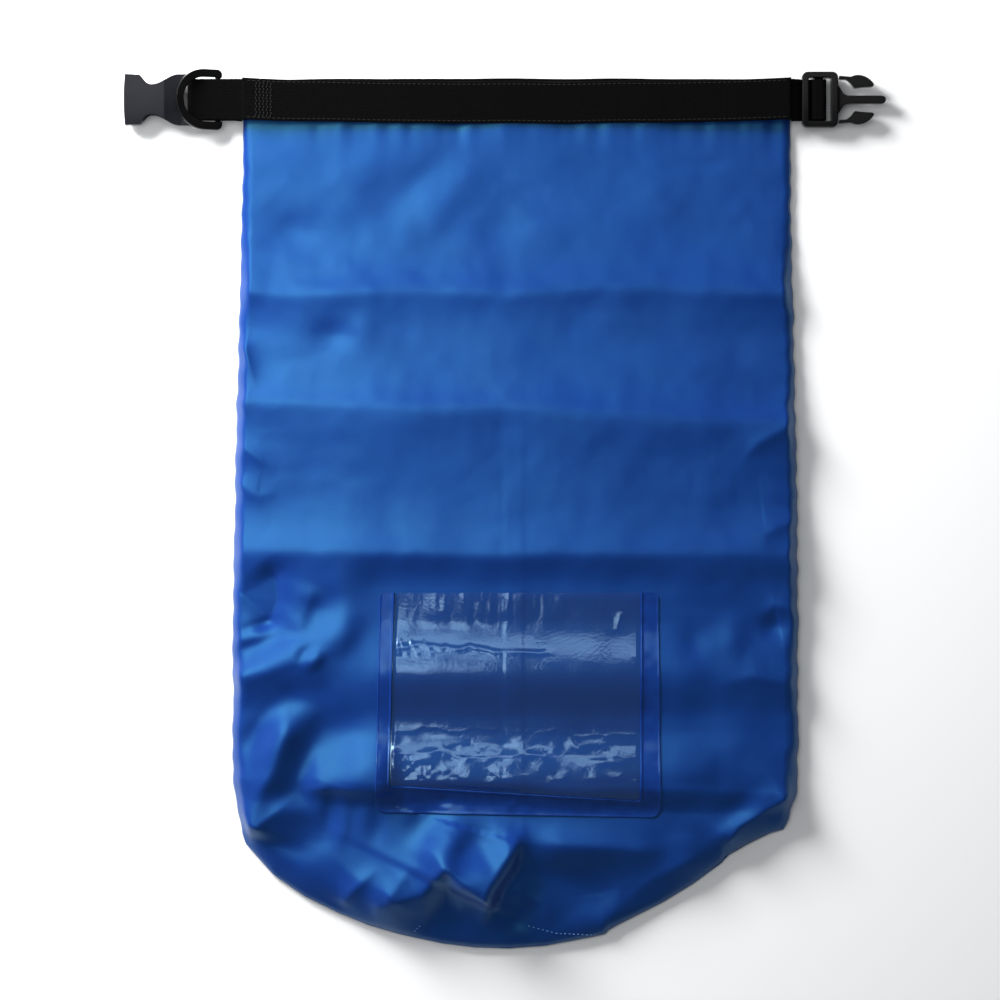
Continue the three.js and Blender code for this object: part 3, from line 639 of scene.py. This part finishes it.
def band_path(z, sag):
    """The middle line of a band across the mouth, which sags in its middle and waves a little."""
    x = np.linspace(LEFT_X, RIGHT_X, 190)
    bow = 1 - ((x - MID_X) / (RIGHT_X - MID_X)) ** 2
    y = STRAP_Y + 0.4 - sag * bow**0.8 + 0.25 * wave(x, (83, 0.5), (57, 0.4))
    return np.stack([x, y, z + 0.15 * wave(x, (63, 0.6), (29, 0.3))], 1)


# ---- Pocket ----


def u_path(corners, radius, counts):
    """Points down, along and up a U through four corners, with its two lower corners rounded."""
    a, b, c, d = (np.array(p, float) for p in corners)
    unit = lambda v: v / np.linalg.norm(v)
    points = []
    start = a
    for corner, after in ((b, c), (c, d)):
        entry = corner - unit(corner - start) * radius
        leave = corner + unit(after - corner) * radius
        points.append(start + (entry - start) * np.linspace(0, 1, counts[0], endpoint=False)[:, None])
        t = np.linspace(0, 1, counts[1], endpoint=False)[:, None]
        points.append((1 - t) ** 2 * entry + 2 * t * (1 - t) * corner + t**2 * leave)
        start = leave
    points.append(start + (d - start) * np.linspace(0, 1, counts[0])[:, None])
    return np.concatenate(points)


def pocket_weld():
    """The welded film round the window: a flat strip with a low bead at both edges, taller at the inner."""
    inner = u_path(POCKET_INNER, 2.0, (110, 8))
    outer = u_path(POCKET_OUTER, 7.0, (110, 8))
    share = np.concatenate([[0, 0], np.linspace(0, 1, 19), [1, 1]])
    flat = inner[:, None] + (outer - inner)[:, None] * share[None, :, None]
    # The strip's two upper ends are rounded.
    top = POCKET_OUTER[0][1]
    x, y = flat[..., 0], flat[..., 1]
    near = np.clip(1 - (top - y) / 4.5, 0, 1)
    y = y - 3.2 * near * np.clip((share[None, :] - 0.55) / 0.45, 0, 1) ** 2
    edge = np.minimum(share, 1 - share) * 10.0
    lift = 0.34 + 0.2 * np.exp(-(((edge - 0.45) / 0.4) ** 2))
    lift += 0.45 * np.exp(-(((share * 10 - 0.5) / 0.5) ** 2))
    lift[[0, -1]] = -0.5
    lift[[1, -2]] = 0.12
    z = front_height(x, y) + lift[None, :] + 0.1 * noise(x, y, 6, 51)
    z += facet(x, y, (-35.5, -175.5), (5, 4), (0.05, -0.16)) + facet(x, y, (4, -174), (3, 4), (0.05, -0.16))
    vertices = np.stack([x, y, z], 2)
    rows, columns = x.shape
    faces = grid_faces(rows, columns)[:, ::-1]
    return mesh_object("pocket_weld", vertices.reshape(-1, 3), faces, vertices[..., :2].reshape(-1, 2))


def film_lift(x, y):
    """How far the window stands off the wall: creases across it, and crinkles at its top and bottom."""
    z = np.full(x.shape, 1.3)
    upper = smooth((y + 72) / 12)
    middle = 0.4 + 0.9 * np.exp(-(((x + 8) / 34) ** 2))
    z += upper * middle * (0.3 * noise(x, y * 0.22, 4.6, 61) + 0.15 * noise(x, y * 0.3, 2.3, 62))
    crinkle = -84 - 0.05 * x + 1.8 * noise(x, y * 0, 10, 63) + 0.6 * noise(x, y * 0, 3.5, 64)
    z += 0.5 * np.exp(-(((y - crinkle) / 1.7) ** 2)) * smooth(1.2 * noise(x, y * 0, 17, 65) + 0.6)
    fold = -132 - 0.03 * x + 2.6 * noise(x, y * 0, 15, 66) + 0.8 * noise(x, y * 0, 5, 67)
    z += 0.9 * np.exp(-np.abs(y - fold) / 3.2) * (0.6 + 0.5 * noise(x, y * 0, 21, 68))
    lower = smooth((-134 - y) / 8) * smooth((y + 163) / 4)
    z += lower * (0.6 * noise(x, y * 1.5, 11, 69) + 0.2 * noise(x, y * 1.3, 5.0, 70))
    second = -146 - 0.04 * x + 3.0 * noise(x, y * 0, 13, 71)
    z += 0.6 * lower * np.exp(-np.abs(y - second) / 2.4) * smooth(1.4 * noise(x, y * 0, 16, 72) + 0.5)
    patch = np.exp(-(((x + 52) / 15) ** 2) - ((y + 157) / 5) ** 2)
    z += patch * 0.4 * noise(x, y, 2.2, 73)
    for shift in (0, 5, 11, 19):
        z += ridge(x, y, ((-68 + shift, -76), (-62 + shift, -88)), 0.6 * (1 - shift / 30), 1.2, 2.2, 0.4)
    z += ridge(x, y, ((70, -60), (66, -74)), 0.7, 1.5, 2.5, 0.4)
    return z + 0.12 * noise(x, y, 12, 74)


def pocket_film():
    """The clear window, tight at its welded sides and bottom and free along its top."""
    a, b, c, d = (np.array(p, float) for p in POCKET_INNER)
    columns, rows = 230, 190
    s = np.linspace(-0.006, 1.006, columns)[None, :, None]
    t = (np.linspace(0, 1, rows) ** 0.9)[:, None, None] * 1.006
    flat = (a * (1 - s) + d * s) * (1 - t) + (b * (1 - s) + c * s) * t
    x, y = flat[..., 0], flat[..., 1]
    s, t = s[..., 0], t[..., 0]
    sides = smooth(np.minimum(s, 1 - s) * 150 / 2.5)
    foot = smooth((1 - t) * 124 / 5)
    z = front_height(x, y) + 0.3 + film_lift(x, y) * sides * foot
    vertices = np.stack([x, y, z], 2).reshape(-1, 3)
    return mesh_object("pocket_film", vertices, grid_faces(rows, columns), vertices[:, :2])


def weld_teeth():
    """The fine serrated line pressed along the bottom of the pocket's weld."""
    x = np.arange(-37, 38, 1.45)
    y = np.interp(x, (-77, 93), (-181.0, -184.0)) + 0.15
    places = np.stack([x, y, front_height(x, y) + 0.55], 1)
    return beads("weld_teeth", places, [(0.2, 1, 0)] * len(x), 1.0, 0.6, 0.5)


# ---- Moulded parts ----


def moulded(node, name, pitch, rounds, crown=0.0, swell=0.0):
    """A copy of a CAD moulding with its edges rounded, as a fine even mesh.

    crown thins it towards its two long sides, by this share of its thickness.
    swell grows it, in millimetres.
    """
    made = bpy.data.objects.new(name, frame["nodes"][node].data.copy())
    bpy.context.scene.collection.objects.link(made)
    remesh = made.modifiers.new("even", "REMESH")
    remesh.mode = "VOXEL"
    remesh.voxel_size = pitch * MM
    remesh.use_smooth_shade = True
    soften = made.modifiers.new("soften", "SMOOTH")
    soften.factor = 0.6
    soften.iterations = rounds
    if swell:
        grow = made.modifiers.new("grow", "DISPLACE")
        grow.strength = swell * MM
        grow.mid_level = 0
    apply_modifiers(made)
    low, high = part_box(node)
    middle, half = (low + high) / 2, (high - low) / 2
    for vertex in made.data.vertices:
        across = (vertex.co.y - middle.y) / half.y
        vertex.co.z = middle.z + (vertex.co.z - middle.z) * (1 - crown * across * across)
    made.data.materials.clear()
    made.data.polygons.foreach_set("use_smooth", [True] * len(made.data.polygons))
    return made


def apply_modifiers(piece):
    graph = bpy.context.evaluated_depsgraph_get()
    graph.update()
    mesh = bpy.data.meshes.new_from_object(piece.evaluated_get(graph))
    piece.modifiers.clear()
    piece.data = mesh


# ---- Materials ----


class Nodes:
    """A material under construction: add() makes a node and links or sets its inputs."""

    def __init__(self, name):
        self.material = bpy.data.materials.new(name)
        self.material.use_nodes = True
        self.tree = self.material.node_tree
        self.tree.nodes.clear()
        self.output = self.add("ShaderNodeOutputMaterial")

    def add(self, kind, settings=None, **inputs):
        node = self.tree.nodes.new(kind)
        for key, value in (settings or {}).items():
            setattr(node, key, value)
        for key, value in inputs.items():
            self.put(node, key.replace("_", " "), value)
        return node

    def put(self, node, key, value):
        socket = node.inputs[int(key)] if key.isdigit() else node.inputs[key]
        if isinstance(value, bpy.types.NodeSocket):
            self.tree.links.new(value, socket)
        else:
            socket.default_value = value

    def math(self, operation, a, b=0.0):
        node = self.add("ShaderNodeMath", {"operation": operation})
        self.put(node, "0", a)
        self.put(node, "1", b)
        return node.outputs[0]

    def ramp(self, value, *stops):
        node = self.add("ShaderNodeValToRGB", Fac=value)
        while len(node.color_ramp.elements) < len(stops):
            node.color_ramp.elements.new(0.5)
        for element, (place, color) in zip(node.color_ramp.elements, stops):
            element.position = place
            element.color = (*color, 1)
        return node.outputs["Color"]

    def finish(self, shader):
        self.tree.links.new(shader, self.output.inputs["Surface"])
        return self.material


def coated_fabric():
    """PVC-coated polyester: a fine woven relief under a satin blue skin, with faint rubbed patches."""
    n = Nodes("coated_fabric")
    uv = n.add("ShaderNodeUVMap", {"uv_map": "UVMap"}).outputs["UV"]
    split = n.add("ShaderNodeSeparateXYZ", Vector=uv)
    threads = 100 * 2 * math.pi / 0.9  # the coordinates are in tenths of a metre, and a thread is 0.9 mm
    warp = n.math("SINE", n.math("MULTIPLY", split.outputs["X"], threads))
    weft = n.math("SINE", n.math("MULTIPLY", split.outputs["Y"], threads))
    weave = n.math("MULTIPLY", warp, weft)
    cloudy = n.add("ShaderNodeTexNoise", Vector=uv, Scale=3.0, Detail=4.0, Roughness=0.55)
    grain = n.add("ShaderNodeTexNoise", Vector=uv, Scale=160.0, Detail=2.0)
    color = n.ramp(cloudy.outputs["Fac"], (0.3, (0.004, 0.0215, 0.165)), (0.7, (0.005, 0.0265, 0.19)))
    rough = n.ramp(cloudy.outputs["Fac"], (0.3, (0.36,) * 3), (0.7, (0.41,) * 3))
    relief = n.math("ADD", n.math("MULTIPLY", weave, 0.5), n.math("MULTIPLY", grain.outputs["Fac"], 0.8))
    bump = n.add("ShaderNodeBump", Strength=0.6, Distance=0.00008, Height=relief)
    shader = n.add(
        "ShaderNodeBsdfPrincipled",
        Base_Color=color,
        Roughness=rough,
        Normal=bump.outputs["Normal"],
        Specular_IOR_Level=0.8,
        Specular_Tint=(0.16, 0.74, 1.0, 1),
        Sheen_Weight=0.1,
        Sheen_Roughness=0.3,
        Sheen_Tint=(0.15, 0.6, 1.0, 1),
    )
    return n.finish(shader.outputs["BSDF"])


def black_webbing():
    """Black polypropylene webbing: ribs along it, and fine picks across them."""
    n = Nodes("black_webbing")
    uv = n.add("ShaderNodeUVMap", {"uv_map": "UVMap"}).outputs["UV"]
    split = n.add("ShaderNodeSeparateXYZ", Vector=uv)
    picks = n.math("SINE", n.math("MULTIPLY", split.outputs["X"], 100 * 2 * math.pi / 1.1))
    cords = n.math("SINE", n.math("MULTIPLY", split.outputs["Y"], 100 * 2 * math.pi / 1.86))
    fuzz = n.add("ShaderNodeTexNoise", Vector=uv, Scale=90.0, Detail=3.0)
    relief = n.math("ADD", n.math("MULTIPLY", picks, n.math("MULTIPLY", cords, 0.7)), fuzz.outputs["Fac"])
    color = n.ramp(fuzz.outputs["Fac"], (0.35, (0.001, 0.001, 0.001)), (0.7, (0.003, 0.003, 0.0032)))
    bump = n.add("ShaderNodeBump", Strength=0.5, Distance=0.0003, Height=relief)
    shader = n.add(
        "ShaderNodeBsdfPrincipled",
        Base_Color=color,
        Roughness=0.78,
        Normal=bump.outputs["Normal"],
        Specular_IOR_Level=0.05,
    )
    return n.finish(shader.outputs["BSDF"])


def black_acetal(name, base, roughness, texture=0.25):
    """Moulded plastic with a fine spark-eroded texture and faint flow marks."""
    n = Nodes(name)
    place = n.add("ShaderNodeTexCoord").outputs["Object"]
    fine = n.add("ShaderNodeTexNoise", Vector=place, Scale=2600.0, Detail=2.0)
    broad = n.add("ShaderNodeTexNoise", Vector=place, Scale=90.0, Detail=3.0)
    rough = n.ramp(broad.outputs["Fac"], (0.3, (roughness * 0.85,) * 3), (0.7, (roughness * 1.2,) * 3))
    color = n.ramp(broad.outputs["Fac"], (0.3, base), (0.7, tuple(1.35 * c for c in base)))
    bump = n.add("ShaderNodeBump", Strength=texture, Distance=0.00005, Height=fine.outputs["Fac"])
    shader = n.add(
        "ShaderNodeBsdfPrincipled",
        Base_Color=color,
        Roughness=rough,
        Normal=bump.outputs["Normal"],
        Specular_IOR_Level=0.11,
    )
    return n.finish(shader.outputs["BSDF"])


def welded_film():
    """The pocket's welded border: the blue wall seen through a second glossy layer."""
    n = Nodes("welded_film")
    uv = n.add("ShaderNodeUVMap", {"uv_map": "UVMap"}).outputs["UV"]
    cloudy = n.add("ShaderNodeTexNoise", Vector=uv, Scale=14.0, Detail=3.0)
    fine = n.add("ShaderNodeTexNoise", Vector=uv, Scale=120.0, Detail=2.0)
    color = n.ramp(cloudy.outputs["Fac"], (0.3, (0.003, 0.021, 0.16)), (0.7, (0.004, 0.03, 0.20)))
    bump = n.add("ShaderNodeBump", Strength=0.12, Distance=0.0003, Height=fine.outputs["Fac"])
    shader = n.add(
        "ShaderNodeBsdfPrincipled",
        Base_Color=color,
        Roughness=0.2,
        Normal=bump.outputs["Normal"],
        Specular_IOR_Level=0.7,
        Specular_Tint=(0.35, 0.75, 1.0, 1),
    )
    return n.finish(shader.outputs["BSDF"])


def clear_film():
    """Clear PVC: nearly all see-through, slightly smoky, with a sharp gloss."""
    n = Nodes("clear_film")
    uv = n.add("ShaderNodeUVMap", {"uv_map": "UVMap"}).outputs["UV"]
    ripple = n.add("ShaderNodeTexNoise", Vector=uv, Scale=55.0, Detail=2.0)
    bump = n.add("ShaderNodeBump", Strength=0.25, Distance=0.0004, Height=ripple.outputs["Fac"])
    clear = n.add("ShaderNodeBsdfTransparent", Color=(0.7, 0.8, 0.9, 1))
    gloss = n.add(
        "ShaderNodeBsdfPrincipled",
        Base_Color=(0.45, 0.75, 1.0, 1),
        Metallic=1.0,
        Roughness=0.15,
        Normal=bump.outputs["Normal"],
    )
    edge_on = n.add("ShaderNodeLayerWeight", Blend=0.5, Normal=bump.outputs["Normal"]).outputs["Facing"]
    share = n.math("ADD", n.math("MULTIPLY", n.math("POWER", edge_on, 4.0), 0.5), 0.11)
    mix = n.add("ShaderNodeMixShader", Fac=share)
    n.put(mix, "1", clear.outputs["BSDF"])
    n.put(mix, "2", gloss.outputs["BSDF"])
    return n.finish(mix.outputs["Shader"])


def thread(name, color):
    """Twisted sewing thread."""
    n = Nodes(name)
    place = n.add("ShaderNodeTexCoord").outputs["Object"]
    fuzz = n.add("ShaderNodeTexNoise", Vector=place, Scale=3000.0, Detail=2.0)
    dark, light = (tuple(share * c for c in color) for share in (0.8, 1.2))
    shade = n.ramp(fuzz.outputs["Fac"], (0.3, dark), (0.7, light))
    shader = n.add("ShaderNodeBsdfPrincipled", Base_Color=shade, Roughness=0.6)
    return n.finish(shader.outputs["BSDF"])


FABRIC = coated_fabric()
WEBBING = black_webbing()
BLACK_ACETAL = black_acetal("black_acetal", (0.003, 0.003, 0.0032), 0.22, 0.1)
WELDED = welded_film()
CLEAR = clear_film()
BLACK_THREAD = thread("black_thread", (0.009, 0.009, 0.0095))
BLUE_THREAD = thread("blue_thread", (0.12, 0.27, 0.62))
GREY_ACETAL = black_acetal("grey_acetal", (0.007, 0.0072, 0.01), 0.34, 0.15)
STIFFENER = black_acetal("stiffener_plastic", (0.006, 0.006, 0.006), 0.5)


# ---- Camera, lights and floor ----


def make_camera():
    """A long lens straight above the bag, framed as a catalogue view."""
    view_width, front_level = 0.6, 0.008  # what the picture spans, at the level of the bag's front
    data = bpy.data.cameras.new("camera")
    data.lens = 120
    data.sensor_width = 36
    camera = bpy.data.objects.new("camera", data)
    distance = view_width * data.lens / data.sensor_width
    camera.location = (-0.003, 0.0057, distance + front_level)
    data.clip_end = 20
    bpy.context.scene.collection.objects.link(camera)
    bpy.context.scene.camera = camera


def area_light(name, place, target, size, power, gloss=True, diffuse=True):
    """A soft rectangle of light.

    gloss lets shiny surfaces mirror it: a low light would wash out a side view.
    diffuse lets it light everything else.
    """
    data = bpy.data.lights.new(name, "AREA")
    data.shape = "RECTANGLE"
    data.size, data.size_y = size
    data.energy = power
    light = bpy.data.objects.new(name, data)
    light.visible_glossy = gloss
    light.visible_diffuse = diffuse
    light.location = place
    light.rotation_euler = (Vector(target) - Vector(place)).to_track_quat("-Z", "Y").to_euler()
    bpy.context.scene.collection.objects.link(light)


def make_studio():
    area_light("key", (-0.8, 0.85, 0.52), (0, -0.02, 0), (0.5, 0.5), 43, gloss=False)
    area_light("top_panel", (-0.1, 0.53, 1.5), (0, 0, 0), (1.1, 0.42), 2.8)
    area_light("left_panel", (-0.5, 0.12, 1.4), (0, 0, 0), (0.34, 0.9), 2.9)
    area_light("corner_panel", (-0.72, 0.66, 1.1), (0, 0, 0), (0.45, 0.45), 12, diffuse=False)
    area_light("rim", (-0.8, 0.0, 0.16), (-0.1, 0, 0), (1.1, 0.22), 3.5, gloss=False)
    world = bpy.data.worlds.new("studio")
    world.use_nodes = True
    world.node_tree.nodes["Background"].inputs["Color"].default_value = (0.9, 0.95, 1.0, 1)
    world.node_tree.nodes["Background"].inputs["Strength"].default_value = 0.2
    bpy.context.scene.world = world
    below_the_bag = -0.0004
    bpy.ops.mesh.primitive_plane_add(size=8, location=(0, 0, below_the_bag))
    floor = bpy.context.object
    floor.name = "floor"
    n = Nodes("floor")
    shader = n.add("ShaderNodeBsdfPrincipled", Base_Color=(0.9, 0.9, 0.9, 1), Roughness=0.7)
    floor.data.materials.append(n.finish(shader.outputs["BSDF"]))
    bpy.context.scene.view_settings.view_transform = "Standard"


make_camera()
make_studio()


# ---- Assembly ----


def dress(piece, body, material, slot, *nodes):
    """Gives a finished piece its material and its body, or no body where it blends between two."""
    piece.data.materials.clear()
    piece.data.materials.append(material)
    if body:
        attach(piece, body)
    if nodes:
        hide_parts(*nodes)
    return piece


skins = make_skin()
dress(skins["bag_skin"], "bag", FABRIC, "coated_fabric", "bag_wall")
dress(skins["neck_skin"], None, FABRIC, "coated_fabric", "neck_wall")
dress(skins["mouth_skin"], None, FABRIC, "coated_fabric", "mouth_wall")


front_band = webbing("front_webbing", band_path(FRONT_BAND_Z, FRONT_SAG), WEBBING_WIDTH, WEBBING_THICK)
dress(front_band, "mouth", WEBBING, "webbing", "front_band")
rear_band = webbing("rear_webbing", band_path(REAR_BAND_Z, -0.6), WEBBING_WIDTH, WEBBING_THICK)
dress(rear_band, "mouth", WEBBING, "webbing", "rear_band")

ring = moulded("d_ring", "ring_moulding", 0.28, 6, swell=0.12)
dress(ring, "ring", BLACK_ACETAL, "buckle_nylon", "d_ring")
socket = moulded("buckle_socket", "socket_moulding", 0.3, 6, crown=0.3)
dress(socket, "socket", GREY_ACETAL, "buckle_nylon", "buckle_socket")
plug = moulded("plug_frame", "plug_moulding", 0.28, 7, crown=0.12)
dress(plug, "right_tab", BLACK_ACETAL, "buckle_nylon", "plug_frame")
for side, body in (("upper", "upper_latch"), ("lower", "lower_latch")):
    arm = moulded(f"{side}_latch_arm", f"{side}_latch_moulding", 0.22, 7)
    dress(arm, body, BLACK_ACETAL, "buckle_nylon", f"{side}_latch_arm")

for side, outward in (("left", -TAB_BEND), ("right", TAB_BEND)):
    loop = webbing(f"{side}_webbing_loop", strap_end_path(side), WEBBING_WIDTH - 0.4, WEBBING_THICK)
    dress(loop, None, WEBBING, "webbing", f"{side}_strap_loop")
    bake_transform(loop)

dress(pocket_weld(), "bag", WELDED, "welded_film", "pocket_weld_border")
film = dress(pocket_film(), "bag", CLEAR, "clear_film", "pocket_window")
dress(weld_teeth(), "bag", WELDED, "welded_film")

dress(base_hem(), "bag", FABRIC, "coated_fabric", "base_seam_tape")
dress(base_panel(), "bag", FABRIC, "coated_fabric", "base_disc")
dress(base_stitches(), "bag", BLUE_THREAD, "seam_tape")
dress(band_stitches(), "mouth", BLACK_THREAD, "webbing")
dress(bar_tacks(), "mouth", BLACK_THREAD, "webbing")
dress(seam_tape("back_tape", LOWER_SPLIT, TAPE_LOW), "bag", FABRIC, "seam_tape", "back_seam_tape")
neck_tape = seam_tape("neck_tape", UPPER_SPLIT, LOWER_SPLIT)
dress(neck_tape, None, FABRIC, "seam_tape", "neck_seam_tape")
mouth_tape = dress(seam_tape("mouth_tape", TAPE_HIGH, UPPER_SPLIT), None, FABRIC, "seam_tape")
for piece in (skins["neck_skin"], neck_tape):
    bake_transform(piece)
for piece in (skins["mouth_skin"], mouth_tape):
    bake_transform(piece)
frame["nodes"]["mouth_stiffener"].data.materials.clear()
frame["nodes"]["mouth_stiffener"].data.materials.append(STIFFENER)
